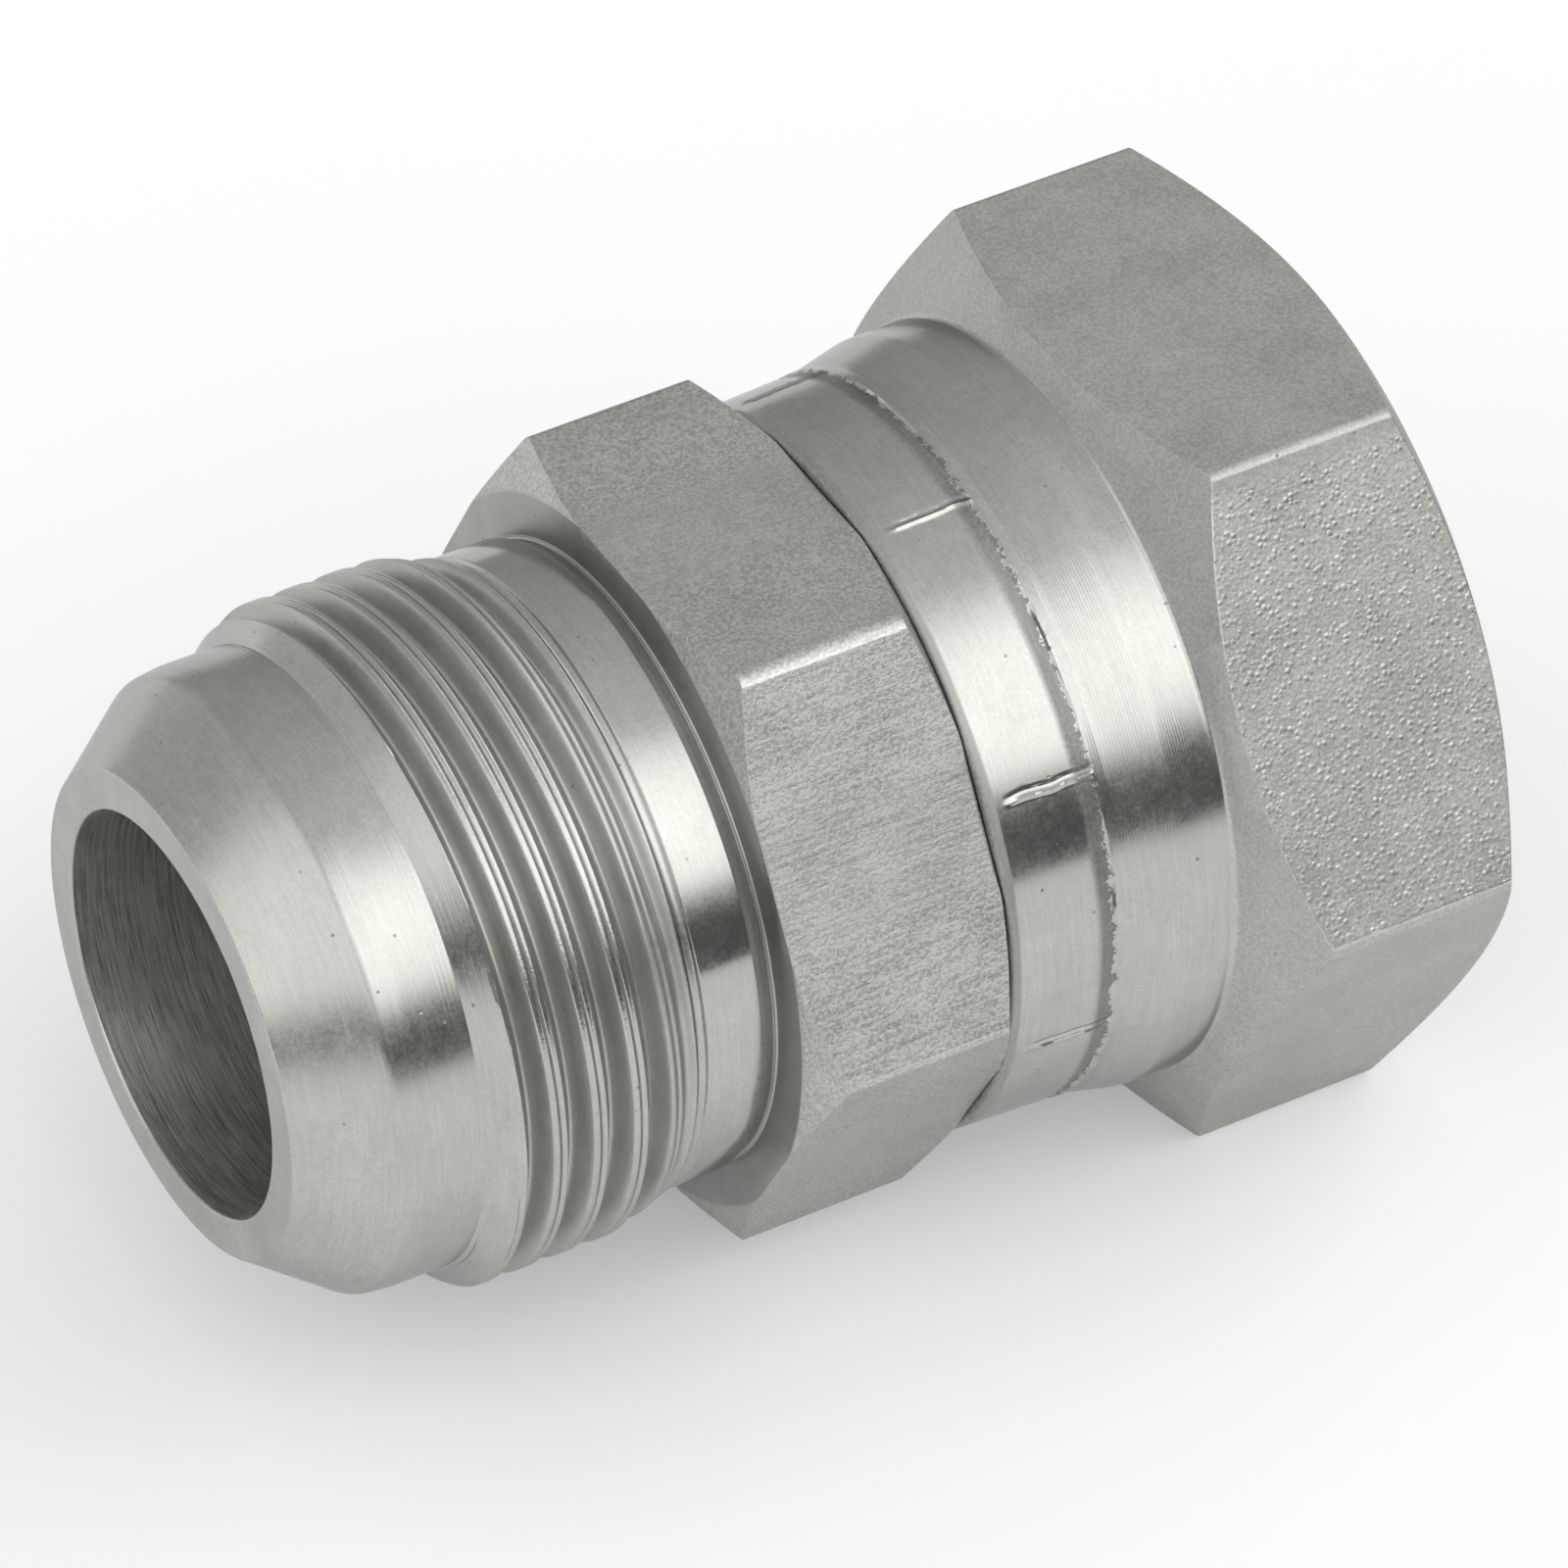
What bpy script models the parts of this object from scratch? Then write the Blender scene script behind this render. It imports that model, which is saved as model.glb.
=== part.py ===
# Hydraulic adapter: a 37 degree cone male end with a straight unified thread, made in one
# piece with a hexagon and a tail, and a swivel nut that is crimped on behind the tail's shoulder.
#
# Units are metres, +Z is up. The bore lies along +X, from the male nose to the nut's mouth,
# and the hexagons lie with flats up and down. The origin is on the bore's axis, halfway along.
# Stations below are distances along the axis from the male nose.

import math

import bmesh
import bpy
from mathutils import Matrix

MM = 0.001
INCH = 0.0254
TURN = 2 * math.pi

# Steps around the axis, which eight crimping dies share evenly, and steps in a small round edge
AROUND = 64
EDGE_STEPS = 3

# Share of a step's climb within which a thread's rows are moved onto the thread's ends
THREAD_SNAP = 0.6

# Male end
BORE_RADIUS = 10.1 * MM
NOSE_RADIUS = 12.15 * MM
SEAT_ANGLE = math.radians(37)
SEAT_RADIUS = 15.3 * MM
PILOT_RADIUS = 15.45 * MM
PILOT_LEAD = 1.2 * MM
PILOT_LENGTH = 3.85 * MM

# Male thread, 1-5/16-12 unified
THREAD_MAJOR_RADIUS = 16.65 * MM
THREAD_PITCH = INCH / 12
THREAD_DEPTH = 1.1 * MM
THREAD_CREST_WIDTH = 0.66 * MM
THREAD_ROOT_WIDTH = 0.26 * MM
THREAD_LENGTH = 11.0 * MM
THREAD_FADE_LENGTH = 1.1 * MM
THREAD_TAPER_LENGTH = 1.75 * MM
THREAD_TAPER_DROP = 0.6 * MM
THREAD_LEAD_ANGLE = math.radians(45)
THREAD_CLOCK = math.radians(300)

# Turned neck between the thread and the hexagon
RELIEF_RADIUS = 15.85 * MM
RELIEF_LENGTH = 4.6 * MM
RELIEF_GROOVE_DEPTH = 0.25 * MM
RELIEF_GROOVE_WIDTH = 0.4 * MM
RELIEF_GROOVE_SLOPE = 4
UNDERCUT_DEPTH = 0.35 * MM
UNDERCUT_WIDTH = 0.9 * MM

# Body hexagon
BODY_ACROSS_FLATS = 35.2 * MM
BODY_HEX_LENGTH = 11.05 * MM
BODY_HEX_CLOCK = math.radians(0.9)
BODY_NOSE_CHAMFER = math.radians(26.5)
BODY_TAIL_CHAMFER = math.radians(30)
BODY_TAIL_CHAMFER_LENGTH = 1.34 * MM

# Tail inside the nut
NECK_RADIUS = 14.8 * MM
SHOULDER_RADIUS = 15.85 * MM
SHOULDER_LENGTH = 4.6 * MM
SHOULDER_BEVEL = 0.5 * MM
TAIL_RADIUS = 14.2 * MM
TAIL_LENGTH = 1.7 * MM
TAIL_CONE_ANGLE = math.radians(30)
TAIL_TIP_WALL = 1.2 * MM

# Clearances between the body and the nut
FACE_CLEARANCE = 0.32 * MM
NECK_CLEARANCE = 0.4 * MM
SHOULDER_CLEARANCE = 0.35 * MM

# Swivel nut
NUT_ACROSS_FLATS = 41.0 * MM
NUT_HEX_LENGTH = 14.3 * MM
NUT_CHAMFER = math.radians(30)
NUT_FACE_RADIUS = 20.3 * MM
COLLAR_WALL = 2.8 * MM
COLLAR_LENGTH = 2.6 * MM
FLARE_LENGTH = 3.5 * MM
CRIMP_WALL = 2.95 * MM
CRIMP_LENGTH = 5.3 * MM
CRIMP_EDGE_RADIUS = 0.45 * MM
CRIMP_STEP = 0.15 * MM
CRIMP_DIES = 8
CRIMP_RIDGE_SHARPNESS = 4
CRIMP_CLOCK = math.radians(59.5)
LIP_LENGTH = 4.6 * MM

# Thread in the nut's mouth, G 1 parallel pipe
MOUTH_MINOR_RADIUS = 15.15 * MM
MOUTH_PITCH = INCH / 11
MOUTH_DEPTH = 1.48 * MM
MOUTH_CREST_WIDTH = 0.38 * MM
MOUTH_ROOT_WIDTH = 0.38 * MM
MOUTH_RELIEF_DEPTH = 0.2 * MM
MOUTH_RELIEF_LENGTH = 1.9 * MM
MOUTH_RELIEF_TAPER = 0.65 * MM
MOUTH_RELIEF_ANGLE = math.radians(60)
MOUTH_THREAD_LENGTH = 12.4 * MM
MOUTH_LEAD_ANGLE = math.radians(45)
MOUTH_LEAD_DEPTH = 0.25 * MM

# Stations of the body, worked out from the sizes above
SEAT_END = (SEAT_RADIUS - NOSE_RADIUS) / math.tan(SEAT_ANGLE)
THREAD_START = SEAT_END + PILOT_LENGTH
THREAD_END = THREAD_START + THREAD_LENGTH
HEX_START = THREAD_END + RELIEF_LENGTH
HEX_END = HEX_START + BODY_HEX_LENGTH

# Stations of the nut
NUT_START = HEX_END + FACE_CLEARANCE
LIP_END = NUT_START + LIP_LENGTH
CRIMP_END = NUT_START + CRIMP_LENGTH
FLARE_END = CRIMP_END + FLARE_LENGTH
COLLAR_END = FLARE_END + COLLAR_LENGTH
NUT_END = COLLAR_END + NUT_HEX_LENGTH

# The shoulder's back face follows the lip's cone, one clearance away from it
LIP_RADIUS = NECK_RADIUS + NECK_CLEARANCE
CHAMBER_RADIUS = SHOULDER_RADIUS + SHOULDER_CLEARANCE
CHAMBER_START = LIP_END + (CHAMBER_RADIUS - LIP_RADIUS)
SHOULDER_START = CHAMBER_START + (math.sqrt(2) - 1) * SHOULDER_CLEARANCE
SHOULDER_END = SHOULDER_START + SHOULDER_LENGTH
TAIL_END = SHOULDER_END + TAIL_LENGTH
TIP_RADIUS = BORE_RADIUS + TAIL_TIP_WALL
TIP = TAIL_END + (TAIL_RADIUS - TIP_RADIUS) / math.tan(TAIL_CONE_ANGLE)

COLLAR_RADIUS = CHAMBER_RADIUS + COLLAR_WALL
CRIMP_RADIUS = LIP_RADIUS + CRIMP_WALL
MOUTH_MAJOR_RADIUS = MOUTH_MINOR_RADIUS + MOUTH_DEPTH
MOUTH_RELIEF_RADIUS = MOUTH_MAJOR_RADIUS + MOUTH_RELIEF_DEPTH
MOUTH_START = NUT_END - MOUTH_THREAD_LENGTH

CENTRE = NUT_END / 2


def new_material(name, colour, roughness):
    material = bpy.data.materials.new(name)
    material.use_nodes = True
    shader = material.node_tree.nodes["Principled BSDF"]
    shader.inputs["Base Color"].default_value = (*colour, 1)
    shader.inputs["Metallic"].default_value = 1
    shader.inputs["Roughness"].default_value = roughness
    return material


def corner_radius(across_flats):
    return across_flats / math.sqrt(3)


def arc(centre, radius, start, end):
    # Points of a small round edge in the (station, radius) plane, ends included.
    points = []
    for i in range(EDGE_STEPS + 1):
        angle = math.radians(start + (end - start) * i / EDGE_STEPS)
        points.append((centre[0] + radius * math.cos(angle), centre[1] + radius * math.sin(angle)))
    return points


def add_outline(bm, points):
    # An open outline in the plane through the axis: station along X, radius along Y.
    verts = [bm.verts.new((station, radius, 0)) for station, radius in points]
    edges = [bm.edges.new(pair) for pair in zip(verts, verts[1:])]
    return verts + edges


def turn(bm, points, advance=0):
    # Turns an outline once around the axis, moving it along by advance.
    bmesh.ops.spin(bm, geom=add_outline(bm, points), cent=(0, 0, 0), axis=(1, 0, 0),
                   dvec=(advance / AROUND, 0, 0), angle=TURN, steps=AROUND, use_merge=False)
    bmesh.ops.remove_doubles(bm, verts=bm.verts, dist=1e-7)


def tooth(phase, pitch, crest, root, depth):
    # Height of a thread over its root, by distance along the axis from a crest's middle.
    offset = abs((phase + pitch / 2) % pitch - pitch / 2)
    climb = (pitch / 2 - root / 2 - offset) / (pitch / 2 - root / 2 - crest / 2)
    return depth * min(max(climb, 0), 1)


def add_thread(bm, start, end, pitch, crest, root, depth, clock, radius_at):
    # A helical band between two stations. Its rows follow the edges of crest and root, and
    # radius_at(station, height) gives the surface, which is round where the band starts and ends.
    # A crest's middle crosses the start station at the angle clock.
    flank = (pitch - crest - root) / 2
    row_offsets = (-crest / 2, crest / 2, crest / 2 + flank, crest / 2 + flank + root)
    first_crest = start - pitch * (2 + clock / TURN)
    turns = math.ceil((end - start) / pitch) + 4
    rows = [first_crest + k * pitch + offset for k in range(turns) for offset in row_offsets]

    band = bmesh.new()
    turn(band, [(row, 1) for row in rows], advance=pitch)
    # What lies nearer to an end than the helix climbs in a step moves onto it.
    snap = THREAD_SNAP * pitch / AROUND
    for vert in band.verts:
        angle = math.atan2(vert.co.z, vert.co.y) % TURN
        station = min(max(vert.co.x, start), end)
        if station - start < snap:
            station = start
        if end - station < snap:
            station = end
        phase = station - first_crest - pitch * angle / TURN
        radius = radius_at(station, tooth(phase, pitch, crest, root, depth))
        vert.co = (station, radius * math.cos(angle), radius * math.sin(angle))
    bmesh.ops.remove_doubles(band, verts=band.verts, dist=1e-7)
    loose = [edge for edge in band.edges if not edge.link_faces]
    bmesh.ops.delete(band, geom=loose, context="EDGES")

    mesh = bpy.data.meshes.new("band")
    band.to_mesh(mesh)
    band.free()
    bm.from_mesh(mesh)
    bpy.data.meshes.remove(mesh)


def male_thread_radius(station, height):
    # The blank: a lead chamfer, the major diameter, and a short taper before the relief.
    lead = PILOT_RADIUS + (station - THREAD_START) * math.tan(THREAD_LEAD_ANGLE)
    past_taper = max(0, station - (THREAD_END - THREAD_TAPER_LENGTH))
    blank = THREAD_MAJOR_RADIUS - THREAD_TAPER_DROP * past_taper / THREAD_TAPER_LENGTH
    # The groove runs out over the last part of the taper.
    left = min(1, (THREAD_END - station) / THREAD_FADE_LENGTH)
    groove = (THREAD_DEPTH - height) * left
    return min(lead, blank - groove)


def mouth_thread_radius(station, height):
    # The bore: relief behind the thread, the thread itself, and a lead chamfer at the face.
    relief = MOUTH_RELIEF_RADIUS - (station - MOUTH_START) * math.tan(MOUTH_RELIEF_ANGLE)
    lead_radius = MOUTH_MAJOR_RADIUS + MOUTH_LEAD_DEPTH
    lead = lead_radius - (NUT_END - station) * math.tan(MOUTH_LEAD_ANGLE)
    return max(MOUTH_MAJOR_RADIUS - height, relief, lead)


def hexagon_cutter(name, across_flats, clock, start, end):
    # The hexagonal bar that the blank was turned from.
    bpy.ops.mesh.primitive_cylinder_add(vertices=6, radius=corner_radius(across_flats), depth=end - start,
                                        location=((start + end) / 2 - CENTRE, 0, 0))
    cutter = bpy.context.object
    cutter.name = name
    # The bar's first corner is on Y, so that it lies along X with flats on top and below.
    cutter.data.transform(Matrix.Rotation(clock, 4, "X") @ Matrix.Rotation(TURN / 4, 4, "Y"))
    cutter.hide_render = True
    cutter.display_type = "WIRE"
    return cutter


def finish(name, bm, origin, material, cutter):
    # Makes the mesh an object whose origin is at a station on the axis, cut to its hexagon.
    bmesh.ops.remove_doubles(bm, verts=bm.verts, dist=1e-7)
    bmesh.ops.recalc_face_normals(bm, faces=bm.faces)
    bmesh.ops.translate(bm, verts=bm.verts, vec=(-origin, 0, 0))
    mesh = bpy.data.meshes.new(name)
    bm.to_mesh(mesh)
    bm.free()
    mesh.materials.append(material)
    mesh.shade_smooth()
    mesh.set_sharp_from_angle(angle=math.radians(25))
    piece = bpy.data.objects.new(name, mesh)
    piece.location.x = origin - CENTRE
    bpy.context.collection.objects.link(piece)
    hexagon = piece.modifiers.new("hexagon", "BOOLEAN")
    hexagon.operation = "INTERSECT"
    hexagon.solver = "EXACT"
    hexagon.object = cutter
    return piece


def body_outline():
    # From the thread's end back over the hexagon and the tail, and through the bore to the thread's start.
    corner = corner_radius(BODY_ACROSS_FLATS)
    face_radius = BODY_ACROSS_FLATS / 2
    front_edge = HEX_START + (corner - face_radius) * math.tan(BODY_NOSE_CHAMFER)
    back_edge = HEX_END - BODY_TAIL_CHAMFER_LENGTH
    back_radius = corner - BODY_TAIL_CHAMFER_LENGTH / math.tan(BODY_TAIL_CHAMFER)
    relief_start = THREAD_END + 2 * RELIEF_GROOVE_WIDTH
    undercut_radius = RELIEF_RADIUS - UNDERCUT_DEPTH
    undercut_centre = (HEX_START - UNDERCUT_WIDTH + UNDERCUT_DEPTH, RELIEF_RADIUS)
    return [
        (THREAD_END, THREAD_MAJOR_RADIUS - THREAD_TAPER_DROP),
        (THREAD_END + RELIEF_GROOVE_WIDTH, RELIEF_RADIUS - RELIEF_GROOVE_DEPTH),
        (relief_start - RELIEF_GROOVE_DEPTH / RELIEF_GROOVE_SLOPE, RELIEF_RADIUS - RELIEF_GROOVE_DEPTH),
        (relief_start, RELIEF_RADIUS),
        *arc(undercut_centre, UNDERCUT_DEPTH, 180, 270),
        (HEX_START, undercut_radius),
        (HEX_START, face_radius),
        (front_edge, corner),
        (back_edge, corner),
        (HEX_END, back_radius),
        (HEX_END, NECK_RADIUS),
        (SHOULDER_START - (SHOULDER_RADIUS - NECK_RADIUS), NECK_RADIUS),
        (SHOULDER_START, SHOULDER_RADIUS),
        (SHOULDER_END - SHOULDER_BEVEL, SHOULDER_RADIUS),
        (SHOULDER_END, SHOULDER_RADIUS - SHOULDER_BEVEL),
        (SHOULDER_END, TAIL_RADIUS),
        (TAIL_END, TAIL_RADIUS),
        (TIP, TIP_RADIUS),
        (TIP, BORE_RADIUS),
        (0, BORE_RADIUS),
        (0, NOSE_RADIUS),
        (SEAT_END, SEAT_RADIUS),
        (SEAT_END + PILOT_LEAD, PILOT_RADIUS),
        (THREAD_START, PILOT_RADIUS),
    ]


def add_adapter_body():
    bm = bmesh.new()
    turn(bm, body_outline())
    add_thread(bm, THREAD_START, THREAD_END, THREAD_PITCH, THREAD_CREST_WIDTH, THREAD_ROOT_WIDTH,
               THREAD_DEPTH, THREAD_CLOCK, male_thread_radius)
    bar = hexagon_cutter("body_bar", BODY_ACROSS_FLATS, BODY_HEX_CLOCK, -NOSE_RADIUS, TIP + NOSE_RADIUS)
    steel = new_material("body_steel", (0.55, 0.56, 0.54), 0.3)
    return finish("adapter_body", bm, 0, steel, bar)


def nut_outline():
    # From the bore behind the thread, around the crimped lip, to the thread's start at the mouth.
    corner = corner_radius(NUT_ACROSS_FLATS)
    front_edge = COLLAR_END + (corner - COLLAR_RADIUS) * math.tan(NUT_CHAMFER)
    back_edge = NUT_END - (corner - NUT_FACE_RADIUS) * math.tan(NUT_CHAMFER)
    relief_start = MOUTH_START - MOUTH_RELIEF_LENGTH
    edge_centre = (NUT_START + CRIMP_EDGE_RADIUS, CRIMP_RADIUS - CRIMP_EDGE_RADIUS)
    return [
        (MOUTH_START, MOUTH_RELIEF_RADIUS),
        (relief_start, MOUTH_RELIEF_RADIUS),
        (relief_start - MOUTH_RELIEF_TAPER, CHAMBER_RADIUS),
        (CHAMBER_START, CHAMBER_RADIUS),
        (LIP_END, LIP_RADIUS),
        (NUT_START, LIP_RADIUS),
        *arc(edge_centre, CRIMP_EDGE_RADIUS, 180, 90),
        (CRIMP_END, CRIMP_RADIUS),
        (CRIMP_END + CRIMP_STEP / 2, CRIMP_RADIUS + CRIMP_STEP),
        (FLARE_END, COLLAR_RADIUS),
        (COLLAR_END, COLLAR_RADIUS),
        (front_edge, corner),
        (back_edge, corner),
        (NUT_END, NUT_FACE_RADIUS),
        (NUT_END, MOUTH_MAJOR_RADIUS + MOUTH_LEAD_DEPTH),
    ]


def press_dies(bm):
    # Each die leaves a shallow hollow in the crimped band, deepest in its middle, so that low
    # ridges are left where two dies meet.
    first = NUT_START + CRIMP_EDGE_RADIUS / 2
    for vert in bm.verts:
        radius = math.hypot(vert.co.y, vert.co.z)
        if first < vert.co.x < CRIMP_END + CRIMP_STEP / 4 and radius > LIP_RADIUS + CRIMP_WALL / 2:
            angle = math.atan2(vert.co.z, vert.co.y) - CRIMP_CLOCK
            ridge = CRIMP_STEP * abs(math.cos(CRIMP_DIES * angle / 2)) ** CRIMP_RIDGE_SHARPNESS
            vert.co.yz *= (radius + ridge) / radius


def add_swivel_nut():
    bm = bmesh.new()
    turn(bm, nut_outline())
    press_dies(bm)
    add_thread(bm, MOUTH_START, NUT_END, MOUTH_PITCH, MOUTH_CREST_WIDTH, MOUTH_ROOT_WIDTH,
               MOUTH_DEPTH, 0, mouth_thread_radius)
    bar = hexagon_cutter("nut_bar", NUT_ACROSS_FLATS, 0, NUT_START - NOSE_RADIUS, NUT_END + NOSE_RADIUS)
    steel = new_material("nut_steel", (0.57, 0.58, 0.56), 0.32)
    return finish("swivel_nut", bm, NUT_START, steel, bar)


def main():
    for old in list(bpy.data.objects):
        bpy.data.objects.remove(old)
    add_adapter_body()
    add_swivel_nut()


main()
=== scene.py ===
import math

import bmesh
import bpy
from mathutils import Matrix, Vector, noise


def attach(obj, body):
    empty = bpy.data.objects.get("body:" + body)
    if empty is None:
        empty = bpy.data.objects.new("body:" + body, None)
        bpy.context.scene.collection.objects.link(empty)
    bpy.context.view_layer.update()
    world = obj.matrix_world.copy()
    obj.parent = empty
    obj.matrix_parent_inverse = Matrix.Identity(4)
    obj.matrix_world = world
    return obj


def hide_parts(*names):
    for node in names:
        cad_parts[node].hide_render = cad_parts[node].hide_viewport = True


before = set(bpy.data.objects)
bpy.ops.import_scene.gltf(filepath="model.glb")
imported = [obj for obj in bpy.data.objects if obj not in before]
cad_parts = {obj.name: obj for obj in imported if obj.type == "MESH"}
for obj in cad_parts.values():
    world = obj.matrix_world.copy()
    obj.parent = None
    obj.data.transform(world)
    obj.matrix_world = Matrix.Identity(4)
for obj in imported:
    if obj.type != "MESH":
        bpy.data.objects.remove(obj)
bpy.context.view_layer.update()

# Outlines are written in millimetres: station from the male nose along the bore, then radius.
millimetre = 0.001
micrometre = 0.000001
turn = 2 * math.pi
centreStation = 30.35  # the station that lies on the frame's origin
sharpAngle = 35  # degrees; flatter edges are shaded smooth


# Meshes

def rounded(corners, steps=3):
    # Each corner is (station, radius) or (station, radius, reach): reach is how far its rounding goes.
    shareOfSide = 0.45  # the most of a side that one rounding takes
    points = []
    for i, corner in enumerate(corners):
        here = Vector(corner[:2])
        reach = corner[2] if len(corner) > 2 else 0
        if not reach or i in (0, len(corners) - 1):
            points.append(tuple(here))
            continue
        before = Vector(corners[i - 1][:2]) - here
        after = Vector(corners[i + 1][:2]) - here
        first = here + before.normalized() * min(reach, before.length * shareOfSide)
        last = here + after.normalized() * min(reach, after.length * shareOfSide)
        for k in range(steps + 1):
            t = k / steps
            points.append(tuple((1 - t) ** 2 * first + 2 * t * (1 - t) * here + t * t * last))
    return points


def between(start, end, count):
    # Points from start to end, both included
    return [(start[0] + (end[0] - start[0]) * i / count, start[1] + (end[1] - start[1]) * i / count)
            for i in range(count + 1)]


def spun(points, steps, climb=0):
    # Turns an outline once round the bore; climb moves it along by so much per turn.
    bm = bmesh.new()
    verts = [bm.verts.new((station, radius, 0)) for station, radius in points]
    edges = [bm.edges.new(pair) for pair in zip(verts, verts[1:])]
    bmesh.ops.spin(bm, geom=verts + edges, cent=(0, 0, 0), axis=(1, 0, 0), dvec=(climb / steps, 0, 0),
                   angle=turn, steps=steps, use_merge=not climb)
    bmesh.ops.remove_doubles(bm, verts=bm.verts, dist=1e-5)
    return bm


def angleOf(vert):
    return math.atan2(vert.co.z, vert.co.y) % turn


def clamped(value):
    return min(max(value, 0), 1)


def addTo(bm, other):
    mesh = bpy.data.meshes.new("passing")
    other.to_mesh(mesh)
    other.free()
    bm.from_mesh(mesh)
    bpy.data.meshes.remove(mesh)


def threadBand(start, end, pitch, offsets, steps, crestAt, radiusAt):
    # A helical band. Its rows follow a crest, which crosses the station crestAt at angle 0.
    first = crestAt - pitch * (math.ceil((crestAt - start) / pitch) + 2)
    count = math.ceil((end - start) / pitch) + 4
    rows = [first + k * pitch + offset for k in range(count) for offset in offsets]
    bm = spun([(row, 1) for row in rows], steps, climb=pitch)
    snap = 0.6 * pitch / steps  # rows this near an end move onto it
    seamGap = 0.002
    for vert in bm.verts:
        angle = angleOf(vert)
        station = vert.co.x
        for limit in (start, end):
            if abs(station - limit) < snap:
                station = limit
        station = min(max(station, start), end)
        offset = (station - crestAt - pitch * angle / turn + pitch / 2) % pitch - pitch / 2
        radius = radiusAt(station, offset)
        vert.co = (station, radius * math.cos(angle), radius * math.sin(angle))
    bmesh.ops.remove_doubles(bm, verts=bm.verts, dist=seamGap)
    bmesh.ops.delete(bm, geom=[edge for edge in bm.edges if not edge.link_faces], context="EDGES")
    return bm


def hexBand(outline, steps, acrossFlats, clock, cornerRadii, edgeWidth):
    # The turned blank of a hexagon, cut to six flats and to narrow facets round each corner
    bm = spun(outline, steps)
    bmesh.ops.recalc_face_normals(bm, faces=bm.faces)
    cuts = 5  # facets round each corner
    for k, cornerRadius in enumerate(cornerRadii):
        centre = (acrossFlats / 2 - cornerRadius) / math.cos(math.radians(30))
        middle = clock + math.radians(60 * k + 30)
        planes = [(middle, acrossFlats / 2)]
        for i in range(1, cuts + 1):
            lean = math.radians(-30 + 60 * i / (cuts + 1))
            planes.append((middle + math.radians(30) + lean, centre * math.cos(lean) + cornerRadius))
        for angle, distance in planes:
            outward = Vector((0, math.cos(angle), math.sin(angle)))
            cut = bmesh.ops.bisect_plane(bm, geom=[*bm.verts, *bm.edges, *bm.faces], dist=1e-5,
                                         plane_co=outward * distance, plane_no=outward, clear_outer=True)
            rim = [e for e in cut["geom_cut"] if isinstance(e, bmesh.types.BMEdge) and len(e.link_faces) == 1]
            bmesh.ops.holes_fill(bm, edges=rim, sides=0)
    bmesh.ops.recalc_face_normals(bm, faces=bm.faces)
    edges = [edge for edge in bm.edges if len(edge.link_faces) == 2 and flatToCone(edge)]
    bmesh.ops.bevel(bm, geom=edges, offset=edgeWidth, offset_type="OFFSET", affect="EDGES", segments=2,
                    profile=0.5, material=-1, clamp_overlap=True)
    return bm


def flatToCone(edge):
    # An edge between a face along the bore and one across it, outside the turned parts
    alongBore, acrossBore = 0.02, 0.3
    leans = sorted(abs(face.normal.x) for face in edge.link_faces)
    return leans[0] < alongBore and leans[1] > acrossBore


def finishPiece(name, bm, material):
    bmesh.ops.remove_doubles(bm, verts=bm.verts, dist=1e-4)
    bmesh.ops.dissolve_degenerate(bm, dist=1e-4, edges=bm.edges)
    bmesh.ops.recalc_face_normals(bm, faces=bm.faces)
    bmesh.ops.translate(bm, verts=bm.verts, vec=(-centreStation, 0, 0))
    bmesh.ops.scale(bm, verts=bm.verts, vec=(millimetre, millimetre, millimetre))
    openEdges = sum(1 for edge in bm.edges if len(edge.link_faces) != 2)
    mesh = bpy.data.meshes.new(name)
    bm.to_mesh(mesh)
    bm.free()
    mesh.materials.append(material)
    mesh.shade_smooth()
    mesh.set_sharp_from_angle(angle=math.radians(sharpAngle))
    piece = bpy.data.objects.new(name, mesh)
    bpy.context.collection.objects.link(piece)
    piece.modifiers.new("even flats", "WEIGHTED_NORMAL").keep_sharp = True
    print(name, len(mesh.polygons), "faces,", openEdges, "open edges")
    return piece


# Shader maths: a socket that takes part in Python expressions

class Socket:
    def __init__(self, tree, link=None):
        self.tree = tree
        self.link = link

    def node(self, kind, settings=None, inputs=None, output=0):
        made = self.tree.nodes.new(kind)
        for name, value in (settings or {}).items():
            setattr(made, name, value)
        for name, value in (inputs or {}).items():
            if isinstance(value, Socket):
                self.tree.links.new(value.link, made.inputs[name])
            else:
                made.inputs[name].default_value = value
        return Socket(self.tree, made.outputs[output]) if made.outputs else None

    def part(self, name):
        return Socket(self.tree, self.link.node.outputs[name])

    def math(self, operation, *values):
        return self.node("ShaderNodeMath", {"operation": operation}, dict(enumerate([self, *values])))

    def __add__(self, other):
        return self.math("ADD", other)

    def __sub__(self, other):
        return self.math("SUBTRACT", other)

    def __rsub__(self, other):
        return (self * -1) + other

    def __mul__(self, other):
        return self.math("MULTIPLY", other)

    def __pow__(self, other):
        return self.math("POWER", other)

    __radd__ = __add__
    __rmul__ = __mul__

    def rises(self, low, high):
        # 0 below low and 1 above high, with soft ends
        return self.node("ShaderNodeMapRange", {"interpolation_type": "SMOOTHSTEP"},
                         {"Value": self, "From Min": low, "From Max": high})

    def falls(self, low, high):
        return 1 - self.rises(low, high)

    def within(self, low, high, soft):
        return self.rises(low - soft, low + soft) * self.falls(high - soft, high + soft)


def vectorOf(x, y, z):
    return x.node("ShaderNodeCombineXYZ", None, {"X": x, "Y": y, "Z": z})


def grain(vector, scale, detail=2, roughness=0.5):
    return vector.node("ShaderNodeTexNoise", {"noise_dimensions": "3D"},
                       {"Vector": vector, "Scale": scale, "Detail": detail, "Roughness": roughness})


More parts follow.
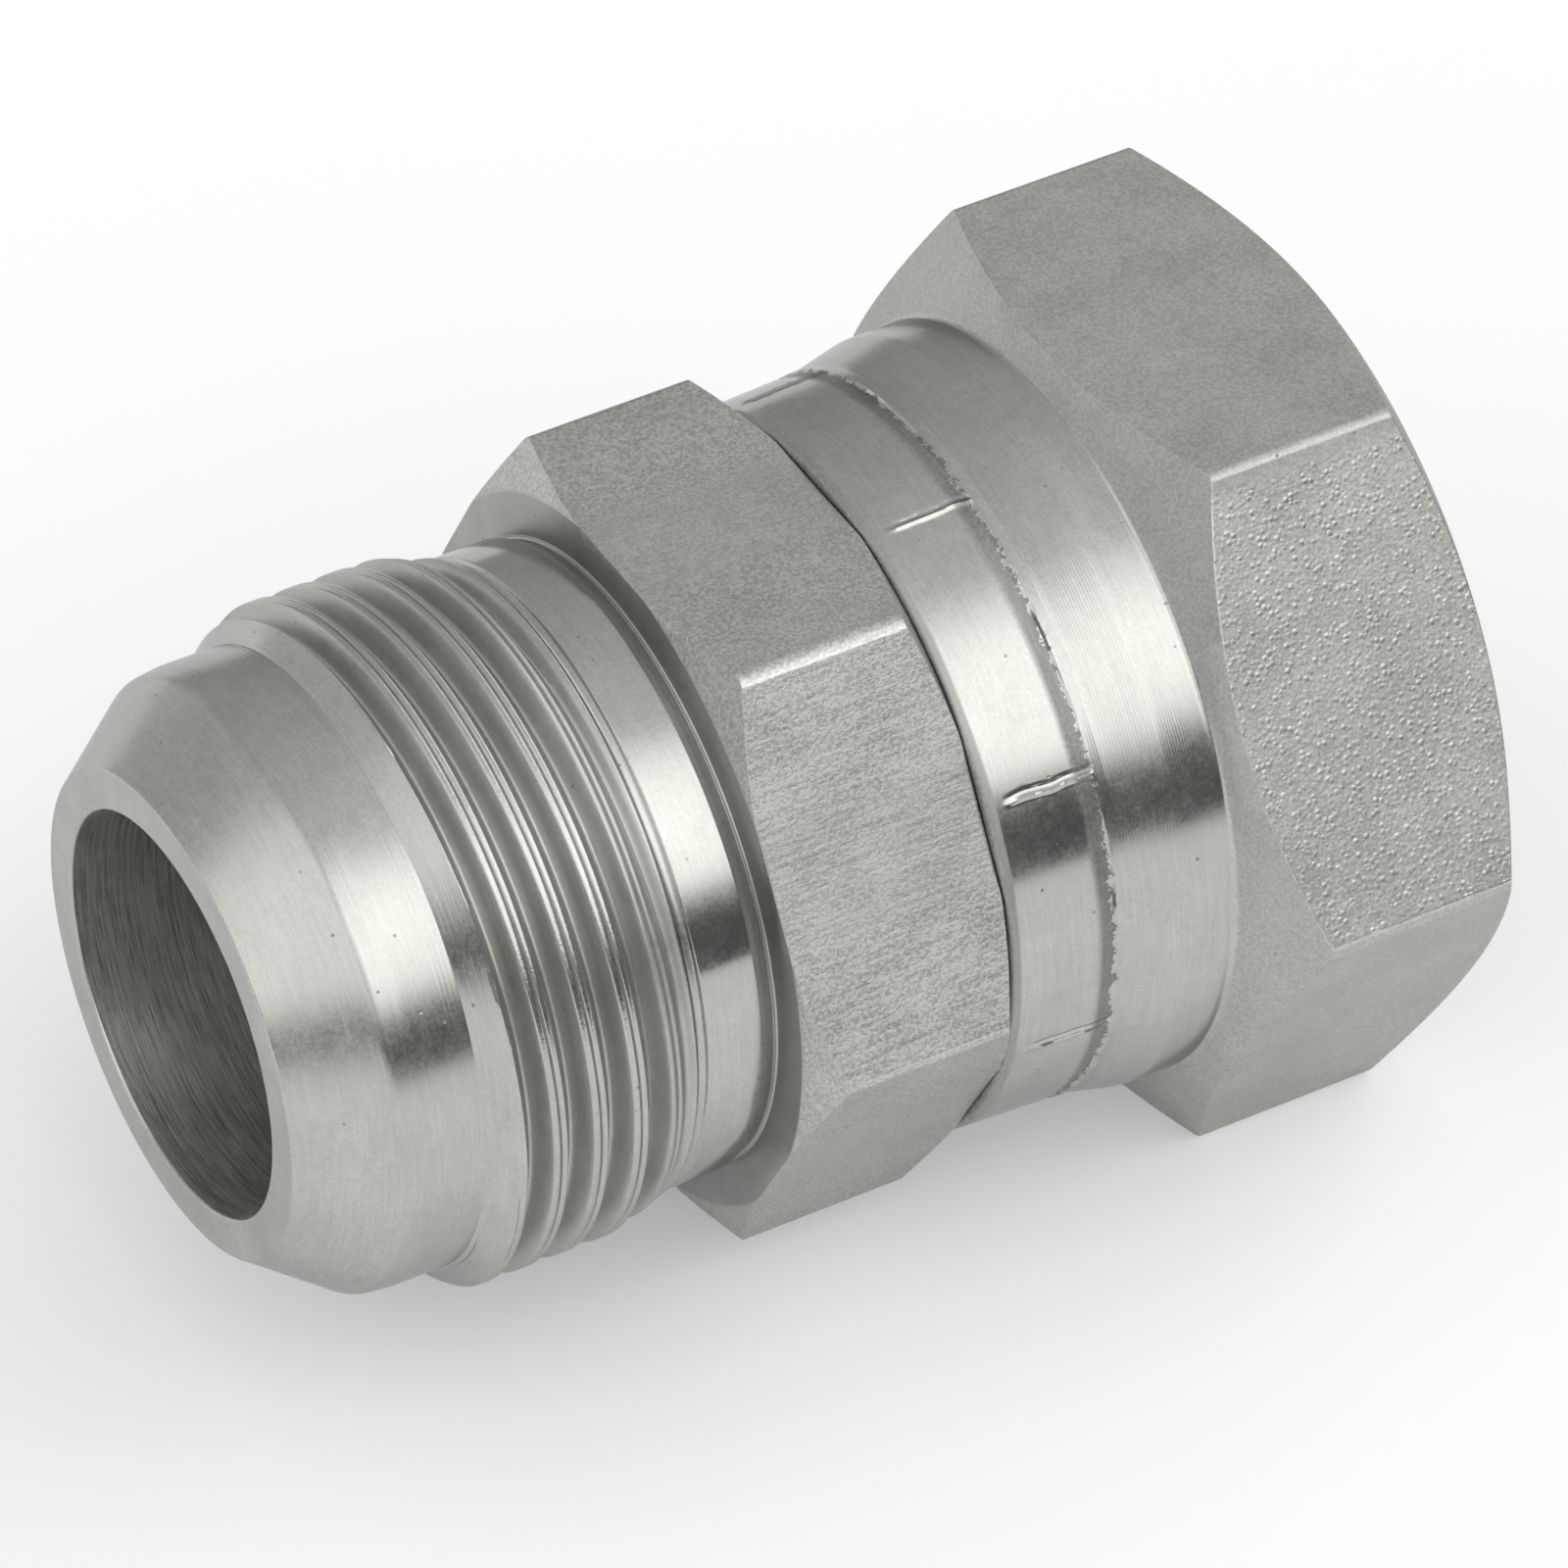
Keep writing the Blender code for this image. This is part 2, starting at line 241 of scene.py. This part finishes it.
def surfaceOf(tree):
    # Station and radius in millimetres, and the place across and up
    start = Socket(tree)
    place = start.node("ShaderNodeTexCoord", output="Object")
    split = place.node("ShaderNodeSeparateXYZ", None, {"Vector": place})
    x, y, z = (split.part(axis) * 1000 for axis in "XYZ")
    return place, x + centreStation, (y * y + z * z) ** 0.5, y, z


def plainMaterial(name):
    material = bpy.data.materials.new(name)
    material.use_nodes = True
    material.node_tree.nodes.clear()
    return material, Socket(material.node_tree)


def layered(levels, masks):
    # Starts from the level called rest; each later level takes over where its mask is 1.
    value = levels["rest"]
    for name, level in levels.items():
        if name in masks:
            value = masks[name] * level + (1 - masks[name]) * value
    return value


def across(y, z, degrees):
    # How far out a point is from the bore's axis in one direction
    return y * math.cos(math.radians(degrees)) + z * math.sin(math.radians(degrees))


def rippled(station, spacing):
    return (station * (turn / spacing)).math("SINE")


def pits(place, scale):
    # Small scattered pits, in some of the cells
    near = place.node("ShaderNodeTexVoronoi", None, {"Vector": place, "Scale": scale})
    some = near.node("ShaderNodeSeparateColor", None, {"Color": near.part("Color")}).rises(0.60, 0.62)
    return near.falls(0.02, 0.09) * some


def metalGrain(place, station, y, z):
    # Patterns that both pieces share: cloudy, smudged, gritty, turned and pitted
    cloud = grain(place, 1400, 2, 0.6)
    smudge = grain(place, 260, 1, 0.6)
    grit = grain(place, 5500, 1, 0.7).rises(0.28, 0.72)
    streaks = grain(vectorOf(station * 9, y * 0.35, z * 0.35), 1.0, 2, 0.6)
    return cloud, smudge, grit, streaks, pits(place, 750)


def closeMaterial(tools, look, shade, roughness, height):
    # Shade is 0 for the dark colour and 1 for the light one; height is in micrometres.
    colour = tinted(shade, look["light"], look["dark"])
    normal = tools.node("ShaderNodeBump", None, {"Height": height, "Strength": 1.0, "Distance": micrometre})
    shader = tools.node("ShaderNodeBsdfPrincipled", None,
                        {"Base Color": colour, "Roughness": roughness, "Metallic": 1.0,
                         "Specular Tint": (0.7, 0.7, 0.7, 1), "Normal": normal})
    tools.node("ShaderNodeOutputMaterial", None, {"Surface": shader})


def tinted(level, light, dark):
    return level.node("ShaderNodeMix", {"data_type": "RGBA"},
                      {0: level, 6: (*dark, 1), 7: (*light, 1)}, output=2)


# Adapter body

bodyValues = {
    "steps": 192,  # columns round the bore
    "bore": 10.1,
    "nose": 12.15,
    "seat": (4.18, 15.3),  # where the cone ends
    "pilotStart": 5.4,
    "pilot": 15.45,
    "threadStart": 8.3,
    "threadEnd": 19.05,
    "pitch": 2.1167,
    "crestAt": 13.5 - 2.1167 * 150 / 360,
    "major": 16.85,
    "depth": 1.27,
    "taperStart": 16.6,  # from here to the thread's end the blank narrows by the drop
    "taperLength": 2.45,
    "taperDrop": 0.8,
    "runout": 1.0,  # the thread gets shallower over this length
    "threadFoot": 16.05,
    "groove": 15.62,
    "relief": 15.85,
    "undercut": 15.52,
    "hexStart": 23.65,
    "hexEnd": 34.68,
    "hexRim": 17.0,  # where the hexagon's part meets the turned parts
    "hexFrontFace": 17.86,
    "hexBackFace": 18.05,
    "hexBlank": 21.2,
    "hexFrontLean": math.radians(26.5),
    "hexBackLean": math.radians(30),
    "acrossFlats": 35.2,
    "clock": math.radians(0.9),
    "cornerRadii": [0.7, 1.05, 0.7, 0.7, 0.7, 0.7],
    "edgeWidth": 0.06,
    "neck": 14.8,
    "shoulder": 15.85,
    "tail": 14.2,
    "tailEnd": (52.07, 11.3),
    "light": (0.680, 0.685, 0.657),
    "dark": (0.19, 0.192, 0.184),
    "drawnFlatPaintedBright": 150.9,  # degrees; this flat has clear drawing marks, and its colour is painted lighter, as painted light
    "roughness": {"rest": 0.26, "thread": 0.42, "crest": 0.20, "cone": 0.26, "pilot": 0.23, "lead": 0.20,
                  "relief": 0.15, "hexCone": 0.45, "flats": 0.37, "annulus": 0.36, "bore": 0.42},
    "streakHeight": {"rest": 1.6, "cone": 2.2, "pilot": 3.0, "lead": 5.0, "relief": 1.0, "hexCone": 1.5,
                     "flats": 0.0, "annulus": 6.0, "bore": 14.0},
}

# The thread's height over its root, by the distance from the crest's middle. The rolled crest is two
# ridges with a seam between them.
threadShape = [
    (-1.0584, 0.03), (-0.96, 0.06), (-0.86, 0.18), (-0.75, 0.42), (-0.60, 0.77), (-0.49, 1.04), (-0.43, 1.17),
    (-0.38, 1.245), (-0.33, 1.27), (-0.14, 1.27), (-0.09, 1.245), (-0.05, 1.18), (-0.01, 1.13), (0.03, 1.18),
    (0.07, 1.245), (0.12, 1.27), (0.26, 1.27), (0.31, 1.245), (0.36, 1.17), (0.42, 1.04), (0.57, 0.76),
    (0.74, 0.42), (0.86, 0.18), (0.96, 0.06), (1.0584, 0.03),
]


def maleThreadRadius(station, offset):
    size = bodyValues
    height = 0
    for (a, low), (b, high) in zip(threadShape, threadShape[1:]):
        if a <= offset <= b:
            height = low + (high - low) * (offset - a) / (b - a)
            break
    ahead = station - size["threadStart"]
    lead = size["pilot"] + min(ahead * 1.1, 0.75 + ahead * 0.5)  # a steep chamfer, then a flatter one
    past = max(0, station - size["taperStart"])
    blank = size["major"] - size["taperDrop"] * past / size["taperLength"]
    fade = min(1, (size["threadEnd"] - station) / size["runout"])
    return min(lead, blank - (size["depth"] - height) * fade)


def bodyOutlines():
    # The hexagon's part, the thread's end to the hexagon, and from behind it through the bore to the thread
    size = bodyValues
    start, end = size["hexStart"], size["hexEnd"]
    rim, blank = size["hexRim"], size["hexBlank"]
    frontFace, backFace = size["hexFrontFace"], size["hexBackFace"]
    hexagon = rounded([
        (start, rim),
        (start, frontFace, 0.05),
        (start + (blank - frontFace) * math.tan(size["hexFrontLean"]), blank),
        (end - (blank - backFace) * math.tan(size["hexBackLean"]), blank),
        (end, backFace, 0.08),
        (end, rim),
    ])
    front = rounded([
        (size["threadEnd"], size["threadFoot"]),
        (19.14, size["threadFoot"], 0.04),
        (19.4, size["groove"], 0.12),
        (19.74, size["groove"], 0.1),
        (19.9, size["relief"], 0.06),
        (22.66, size["relief"]),
        (22.72, 15.82),
        (23.45, size["undercut"], 0.05),
        (23.52, size["undercut"], 0.03),
        (23.56, 15.62, 0.03),
        (start, 15.66, 0.03),
        (start, rim),
    ])
    tailAt, tailNose = size["tailEnd"]
    seatAt, seat = size["seat"]
    back = rounded([
        (end, rim),
        (end, size["neck"], 0.1),
        (39.695, size["neck"]),
        (40.745, size["shoulder"], 0.1),
        (44.845, size["shoulder"]),
        (45.345, 15.35),
        (45.345, size["tail"]),
        (47.045, size["tail"], 0.1),
        (tailAt, tailNose, 0.1),
        (tailAt, size["bore"], 0.1),
        (0.0, size["bore"], 0.15),
        (0.0, size["nose"], 0.1),
        (seatAt, seat, 0.25),
        (size["pilotStart"], size["pilot"], 0.2),
        (size["threadStart"], size["pilot"]),
    ])
    return hexagon, front, back


def makeBody():
    size = bodyValues
    hexagon, front, back = bodyOutlines()
    bm = hexBand(hexagon, size["steps"], size["acrossFlats"], size["clock"], size["cornerRadii"],
                 size["edgeWidth"])
    for outline in (front, back):
        addTo(bm, spun(outline, size["steps"]))
    offsets = [at for at, _ in threadShape[1:]]
    addTo(bm, threadBand(size["threadStart"], size["threadEnd"], size["pitch"], offsets, size["steps"],
                         size["crestAt"], maleThreadRadius))
    return finishPiece("adapterBody", bm, bodyMaterial())


def bodyMaterial():
    look = bodyValues
    material, tools = plainMaterial("bodySteel")
    place, station, radius, y, z = surfaceOf(material.node_tree)
    cloud, smudge, grit, streaks, pit = metalGrain(place, station, y, z)
    drawn = grain(vectorOf(station * 0.3, y * 5, z * 5), 1.0, 2, 0.65)

    # Where each kind of surface is
    bore = radius.falls(10.35, 10.6) * station.rises(0.05, 0.15)
    crest = radius.rises(16.76, 16.82)
    thread = station.within(9.4, 19.0, 0.2) * radius.rises(15.0, 15.1)
    flats = radius.rises(17.3, 17.5) * station.within(23.7, 34.6, 0.02)
    hexCone = radius.rises(17.8, 17.95)
    annulus = station.within(23.0, 23.7, 0.02) * radius.falls(17.8, 17.9)
    masks = {
        "thread": thread * (1 - crest),
        "crest": crest,
        "cone": station.within(-0.2, 4.2, 0.15) * (1 - bore),
        "pilot": station.within(4.2, 8.3, 0.05) * (1 - bore),
        "lead": station.within(8.3, 9.6, 0.1) * radius.rises(15.4, 15.5),
        "relief": station.within(19.8, 22.8, 0.05),
        "hexCone": hexCone,
        "flats": flats,
        "annulus": annulus,
        "bore": bore,
    }
    drawnFlatPaintedBright = across(y, z, look["drawnFlatPaintedBright"]).rises(17.55, 17.59)
    toolMarks = rippled(station, 0.24) * (station.within(7.2, 8.3, 0.3) + station.within(4.7, 5.6, 0.2))

    roughness = (layered(look["roughness"], masks) + (cloud - 0.5) * 0.10 + (smudge - 0.5) * 0.10
                 + (grit - 0.5) * 0.04 + pit * 0.25)
    height = (layered(look["streakHeight"], masks) * streaks + drawn * flats * (drawnFlatPaintedBright * 4.0 + 1.0)
              + grit * (flats * 0.9 + hexCone * 0.7 + 0.15 + crest * 2.5) + cloud * (thread * 6 + 0.7)
              + toolMarks * 1.6 - pit * 9)
    # Painted light: the flat with clear drawing marks is given a lighter colour than the other flats.
    shade = ((cloud - 0.5) * 0.16 + (smudge - 0.5) * 0.20 + (grit - 0.5) * (flats * 0.15 + hexCone * 0.15 + 0.09)
             # Painted light: the bore's inside is coloured lighter to stand in for the light that bounces between
             # its walls.
             + (streaks - 0.5) * (1 - flats) * (bore * 1.8 + 0.25) + bore * 0.22
             + (drawn - 0.5) * flats * (drawnFlatPaintedBright * 0.8 + 0.2) + 0.604 - pit * 0.37
             # Painted shade: the annulus in the undercut before the hexagon is coloured darker.
             + flats * 0.03 + drawnFlatPaintedBright * 0.22 - annulus * 0.17)
    closeMaterial(tools, look, shade, roughness, height)
    return material


# Swivel nut

nutValues = {
    "steps": 384,  # columns round the bore
    "lip": 15.2,
    "lipEdge": 18.08,
    "start": 34.76,
    "crimp": 18.15,
    "crimpEnd": 40.3,
    "chamber": 16.2,
    "collar": 19.0,
    "collarEnd": 46.4,
    "ring": 19.6,
    "corner": 24.6,
    "face": 20.3,
    "faceSplit": 19.0,  # where the hexagon's part meets the mouth's
    "end": 60.7,
    "hexLean": math.radians(30),
    "acrossFlats": 41.0,
    "cornerRadii": [0.6, 0.65, 1.0, 0.6, 0.6, 0.6],
    "edgeWidth": 0.06,
    "mouthStart": 48.3,
    "mouthRelief": 16.83,
    "mouthLead": 16.88,
    "mouthRoot": 16.63,
    "mouthDepth": 1.48,
    "mouthFlank": (0.19, 0.965),
    "pitch": 2.309,
    "dies": 8,
    "dieClock": math.radians(59.5),
    "pressed": (35.2, 41.05),  # the dies shape the metal between these stations
    "outside": 17.0,  # metal nearer to the bore's axis is out of their reach
    "dieDepth": 0.13,
    "crowding": 0.8,
    "wander": 0.12,  # how far the joint lines stray
    "fin": (0.14, 0.16, 0.12),  # its place beside the joint, half width and height
    "crease": (-0.16, 0.14, -0.05),
    "raggedness": (0.10, 0.09),  # of the step, coarse and fine
    "burr": 0.04,
    "light": (0.680, 0.685, 0.657),
    "dark": (0.19, 0.192, 0.184),
    "pebbledFlatPaintedBright": 150,  # degrees; this flat keeps the bar's pebbled skin, and its colour is painted lighter, as painted light
    "chatterAt": 115,
    "roughness": {"rest": 0.26, "crimp": 0.17, "collar": 0.19, "hexCone": 0.45, "tornAndShaded": 0.42, "lip": 0.5,
                  "bore": 0.45},
    "streakHeight": {"rest": 1.2, "crimp": 1.8, "collar": 1.4, "hexCone": 1.2, "bore": 8.0},
}

mouthOffsets = [-1.15, -0.96, -0.6, -0.22, -0.15, 0, 0.15, 0.22, 0.6, 0.96]


def crowdColumns(bm):
    # Moves the columns towards the joints between the dies, less and less from the crimp to the collar's end.
    size = nutValues
    crowdEnd, crowdReach = 46.2, 5.2
    for vert in bm.verts:
        share = clamped((crowdEnd - vert.co.x) / crowdReach)
        radius, angle = vert.co.yz.length, angleOf(vert)
        angle -= share * size["crowding"] / size["dies"] * math.sin(size["dies"] * (angle - size["dieClock"]))
        vert.co = (vert.co.x, radius * math.cos(angle), radius * math.sin(angle))


def mouthThreadRadius(station, offset):
    size = nutValues
    top, foot = size["mouthFlank"]
    height = size["mouthDepth"] * clamped((foot - abs(offset)) / (foot - top))
    relief = size["mouthRelief"] - (station - size["mouthStart"]) * math.tan(math.radians(60))
    lead = size["mouthLead"] - (size["end"] - station)
    return max(size["mouthRoot"] - height, relief, lead)


def ridge(arc, shape):
    # A pointed ridge, or a crease where its height is below 0
    place, halfWidth, height = shape
    return height * max(0, 1 - abs(arc - place) / halfWidth)


def pressDies(bm):
    # The dies leave a fin of metal at each joint, and end in a ragged step.
    size = nutValues
    apart = turn / size["dies"]
    first, last = size["pressed"]
    coarse, fine = size["raggedness"]
    for vert in bm.verts:
        radius = vert.co.yz.length
        station = vert.co.x
        if radius < size["outside"] or not first < station < last:
            continue
        angle = math.atan2(vert.co.z, vert.co.y) - size["dieClock"]
        along = (angle + apart / 2) % apart - apart / 2
        joint = round((angle - along) / apart)
        arc = along * size["crimp"] - size["wander"] * noise.noise(Vector((station * 0.8, joint * 7.0, 0)))
        fin = clamped((station - 35.7) / 0.9) * (ridge(arc, size["fin"]) + ridge(arc, size["crease"]))
        ragged = noise.noise(Vector((vert.co.y * 0.9, vert.co.z * 0.9, 5)))
        tooth = noise.noise(Vector((vert.co.y * 3.1, vert.co.z * 3.1, 9)))
        stepAt = size["crimpEnd"] + coarse * ragged + fine * tooth
        middle = math.sin(size["dies"] * angle / 2) ** 2
        dip = (0.03 + size["dieDepth"] * middle) * clamped((station - 39.4) / 0.85)
        past = clamped((station - stepAt) / 0.08)
        lift = size["burr"] * clamped((41.0 - station) / 0.6)
        radius += (fin - dip) * (1 - past) + lift * past
        vert.co.yz = vert.co.yz.normalized() * radius


def nutOutlines():
    # The hexagon's part, the mouth's face, and from the mouth through the bore round the lip to the collar
    size = nutValues
    rise = math.tan(size["hexLean"])
    start, end, corner = size["start"], size["end"], size["corner"]
    collar, collarEnd = size["collar"], size["collarEnd"]
    ringAt = collarEnd + (size["ring"] - collar) * rise
    hexagon = rounded([
        (ringAt, size["ring"]),
        (collarEnd + (corner - collar) * rise, corner),
        (end - (corner - size["face"]) * rise, corner),
        (end, size["face"], 0.1),
        (end, size["faceSplit"]),
    ])
    mouth = [(end, size["faceSplit"]), (end, size["mouthLead"])]
    inner = rounded([
        (size["mouthStart"], size["mouthRelief"]),
        (collarEnd, size["mouthRelief"]),
        (45.75, size["chamber"]),
        (40.6, size["chamber"]),
        (39.6, size["lip"]),
        (start, size["lip"], 0.2),
        (start, size["lipEdge"], 0.42),
        *between((35.3, 18.13), (41.0, 18.37), 64),
        *between((41.3, 18.44), (43.5, 18.94), 5),
        (43.8, collar, 0.3),
        *between((44.2, collar), (46.1, collar), 5),
        (collarEnd, collar, 0.2),
        (ringAt, size["ring"]),
    ], steps=4)
    return hexagon, mouth, inner


def makeNut():
    size = nutValues
    hexagon, mouth, inner = nutOutlines()
    bm = hexBand(hexagon, size["steps"], size["acrossFlats"], 0, size["cornerRadii"], size["edgeWidth"])
    addTo(bm, spun(mouth, size["steps"]))
    crimped = spun(inner, size["steps"])
    crowdColumns(crimped)
    pressDies(crimped)
    addTo(bm, crimped)
    addTo(bm, threadBand(size["mouthStart"], size["end"], size["pitch"], mouthOffsets, size["steps"],
                         size["mouthStart"], mouthThreadRadius))
    return finishPiece("swivelNut", bm, nutMaterial())


def nutMaterial():
    look = nutValues
    material, tools = plainMaterial("nutSteel")
    place, station, radius, y, z = surfaceOf(material.node_tree)
    cloud, smudge, grit, streaks, pit = metalGrain(place, station, y, z)

    # Where each kind of surface is; where the dies' edge bit in, the metal is torn and duller, and coloured
    # darker as painted shade in the dip before the step
    bore = radius.falls(17.0, 17.1)
    crimp = station.within(34.9, 40.3, 0.05)
    collar = station.within(40.3, 46.42, 0.03)
    hexCone = station.rises(46.45, 46.55) * (1 - bore)
    tornAndShaded = station.rises(39.2, 39.7) * (station + (cloud - 0.5) * 1.0 + (grit - 0.5) * 0.2).falls(40.2, 40.3)
    # The lip beside the body's hexagon is duller, and its colour darker as painted shade in the gap between the
    # parts.
    lip = station.falls(35.2, 35.4)
    masks = {"crimp": crimp, "collar": collar, "hexCone": hexCone, "tornAndShaded": tornAndShaded, "lip": lip, "bore": bore}
    turned = crimp + collar

    flatAt = look["pebbledFlatPaintedBright"]
    pebbledPaintedBright = across(y, z, flatAt).rises(20.42, 20.47) * across(y, z, flatAt + 90).rises(-11.4, -10.2)
    near = place.node("ShaderNodeTexVoronoi", None, {"Vector": place, "Scale": 3300})
    size = near.node("ShaderNodeSeparateColor", None, {"Color": near.part("Color")}) ** 2
    pebbles = near.falls(0.1, 0.6) * (size + 0.15)
    lathe = rippled(station, 0.15) * station.within(40.5, 45.2, 0.4)
    chatter = (rippled(station, 0.2) * station.within(36.7, 38.1, 0.2)
               * across(y, z, look["chatterAt"]).rises(18.0, 18.12))

    roughness = (layered(look["roughness"], masks) + (cloud - 0.5) * 0.10 + (smudge - 0.5) * 0.10
                 + (grit - 0.5) * 0.04 + pit * 0.25 - pebbledPaintedBright * 0.12)
    height = (layered(look["streakHeight"], masks) * streaks + lathe * 1.8 + chatter * 1.6
              + grit * (hexCone * 0.7 + 0.15 + tornAndShaded * 5 + pebbledPaintedBright * 1.6) + cloud * (tornAndShaded * 12 + 0.7)
              + pebbles * pebbledPaintedBright * 14 - pit * 9)
    # Painted light: the pebbled flat is given a lighter colour than the other flats.
    shade = ((cloud - 0.5) * 0.16 + (smudge - 0.5) * 0.20 + (grit - 0.5) * (0.24 - turned * 0.15)
             + (streaks - 0.5) * turned * 0.25 + 0.604 - pit * 0.37
             # Painted shade: the band before the dies' step is coloured darker.
             + pebbledPaintedBright * 0.24 - tornAndShaded * 0.45 - lip * 0.2)
    closeMaterial(tools, look, shade, roughness, height)
    return material


# Studio

studio = {
    "floorHeight": -0.0205,
    "floorMiddle": (-0.40, 0.15),
    "floorReach": 0.60,
    "floorColour": (0.78, 0.78, 0.795),
    "floorGlow": 0.21,
    "panelAzimuth": 15,
    "panelElevation": 44,
    "panelCore": 1.10,
    "panelHaze": 0.42,
    "leftTowards": (-0.80, -0.30, 0.52),
    "leftPanel": 0.60,
    "rightPanel": 1.3,
    "surround": 0.44,
    "horizon": 0.15,
    "leftGlow": 0.12,
    "darkest": 0.13,
    "gapAzimuth": 20,
    "tint": (1.0, 1.01, 0.975),
}


def directionOf(azimuth, elevation):
    # Azimuth 0 faces the front, from where the view looks along +Y.
    azimuth, elevation = math.radians(azimuth), math.radians(elevation)
    return Vector((math.sin(azimuth) * math.cos(elevation), -math.cos(azimuth) * math.cos(elevation),
                   math.sin(elevation)))


def makeFloor():
    bm = bmesh.new()
    bmesh.ops.create_circle(bm, cap_ends=True, segments=96, radius=studio["floorReach"])
    bmesh.ops.translate(bm, verts=bm.verts, vec=(*studio["floorMiddle"], studio["floorHeight"]))
    mesh = bpy.data.meshes.new("floor")
    bm.to_mesh(mesh)
    bm.free()
    floor = bpy.data.objects.new("floor", mesh)
    bpy.context.collection.objects.link(floor)
    material, tools = plainMaterial("paleFloor")
    base = tools.node("ShaderNodeBsdfDiffuse", None, {"Color": (*studio["floorColour"], 1)})
    glow = tools.node("ShaderNodeEmission", None, {"Color": (1, 1, 1, 1), "Strength": studio["floorGlow"]})
    both = tools.node("ShaderNodeAddShader", None, {0: base, 1: glow})
    tools.node("ShaderNodeOutputMaterial", None, {"Surface": both})
    mesh.materials.append(material)


def makeWorld():
    world = bpy.data.worlds.new("studio")
    bpy.context.scene.world = world
    world.use_nodes = True
    world.node_tree.nodes.clear()
    tools = Socket(world.node_tree)
    direction = tools.node("ShaderNodeTexCoord", output="Generated")
    split = tools.node("ShaderNodeSeparateXYZ", None, {"Vector": direction})
    x, y, z = (split.part(axis) for axis in "XYZ")

    def towards(aim):
        return x * aim[0] + y * aim[1] + z * aim[2]

    # The main panel with its haze, a dimmer one at the left, and one at the right that lights the floor
    main = towards(directionOf(studio["panelAzimuth"], studio["panelElevation"]))
    haze = main.node("ShaderNodeMapRange", {"interpolation_type": "LINEAR"},
                     {"Value": main, "From Min": -0.5, "From Max": 0.94}) ** 1.8
    panels = (main.rises(0.79, 1.0) * studio["panelCore"] + haze * studio["panelHaze"]
              + towards(studio["leftTowards"]).rises(0.70, 0.99) * studio["leftPanel"]
              + x.rises(0.45, 0.80) * z.rises(0.3, 0.5) * studio["rightPanel"])
    soft = (z.falls(0.15, 0.65) * x.falls(-0.3, 0.3) * studio["horizon"]
            + x.falls(-0.95, -0.35) * studio["leftGlow"] + studio["surround"])

    # A dark gap between the floor and the panel, widest right of the front
    toGap = towards(directionOf(studio["gapAzimuth"], 0))
    edge = toGap.rises(0.3, 0.95) * 0.12 + 0.18
    dark = (z - edge).falls(-0.12, 0.12) * toGap.rises(-0.7, -0.1)
    level = (panels + soft) * (1 - dark) + studio["darkest"] * dark
    background = tools.node("ShaderNodeBackground", None, {"Color": (*studio["tint"], 1), "Strength": level})
    tools.node("ShaderNodeOutputWorld", None, {"Surface": background})


cameraLook = {
    "place": (-0.2123, -0.3839, 0.3706),
    "azimuth": -29.23,
    "elevation": 40.10,
    "roll": -0.63,
    "lens": 278,
    "sensor": 36,
    "clipStart": 0.01,
}


def makeCamera():
    look = cameraLook
    azimuth = math.radians(look["azimuth"])
    back = directionOf(look["azimuth"], look["elevation"])
    right = Vector((math.cos(azimuth), math.sin(azimuth), 0))
    up = back.cross(right)
    turned = Matrix((right, up, back)).transposed().to_4x4() @ Matrix.Rotation(math.radians(look["roll"]), 4, "Z")
    camera = bpy.data.objects.new("camera", bpy.data.cameras.new("camera"))
    camera.data.lens = look["lens"]
    camera.data.sensor_width = look["sensor"]
    camera.data.clip_start = look["clipStart"]
    camera.matrix_world = Matrix.Translation(look["place"]) @ turned
    bpy.context.collection.objects.link(camera)
    bpy.context.scene.camera = camera
    bpy.context.scene.view_settings.view_transform = "Standard"


body = makeBody()
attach(body, "body")
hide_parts("adapter_body")
print("body done")

nut = makeNut()
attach(nut, "nut")
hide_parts("swivel_nut")
print("nut done")

makeFloor()
makeWorld()
makeCamera()
print("studio done")
